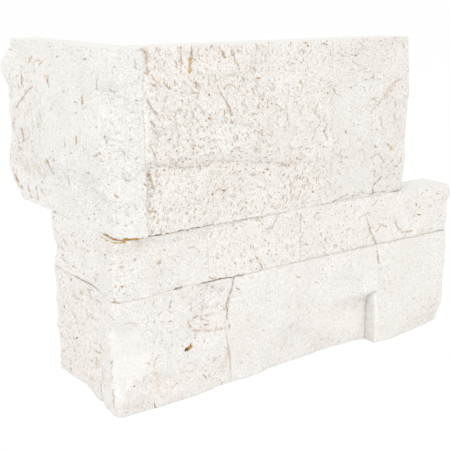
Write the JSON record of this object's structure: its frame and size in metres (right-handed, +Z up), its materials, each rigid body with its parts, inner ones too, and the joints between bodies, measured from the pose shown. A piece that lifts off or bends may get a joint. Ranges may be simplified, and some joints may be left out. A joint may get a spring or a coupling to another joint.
{
  "type": "stone cladding corner piece",
  "caption": "L-shaped corner piece for wall cladding: split-face limestone strips bonded in staggered courses, with flat sawn backs.",
  "frame": {"origin": "foot of the inner arris, where the sawn back planes of the two legs meet: the wall's own outside corner", "axes": "+X along the front leg away from the corner, +Y along the return leg away from the corner, +Z up through the courses"},
  "size_m": [0.1979, 0.1066, 0.15],
  "materials": {
    "shell_limestone": "split face, sawn backs and beds, cream white with brown shell flecks",
    "bed_resin": "cured amber bonding resin"
  },
  "bodies": {
    "root": {"lower_corner_stone": "shell_limestone", "lower_front_middle_stone": "shell_limestone", "lower_front_right_stone": "shell_limestone", "lower_return_stone": "shell_limestone", "middle_corner_stone": "shell_limestone", "middle_front_left_stone": "shell_limestone", "middle_front_right_stone": "shell_limestone", "middle_return_stone": "shell_limestone", "upper_return_stone": "shell_limestone", "upper_front_left_stone": "shell_limestone", "upper_front_right_stone": "shell_limestone", "lower_bed_resin": "bed_resin", "upper_bed_resin": "bed_resin"}
  },
  "joints": []
}
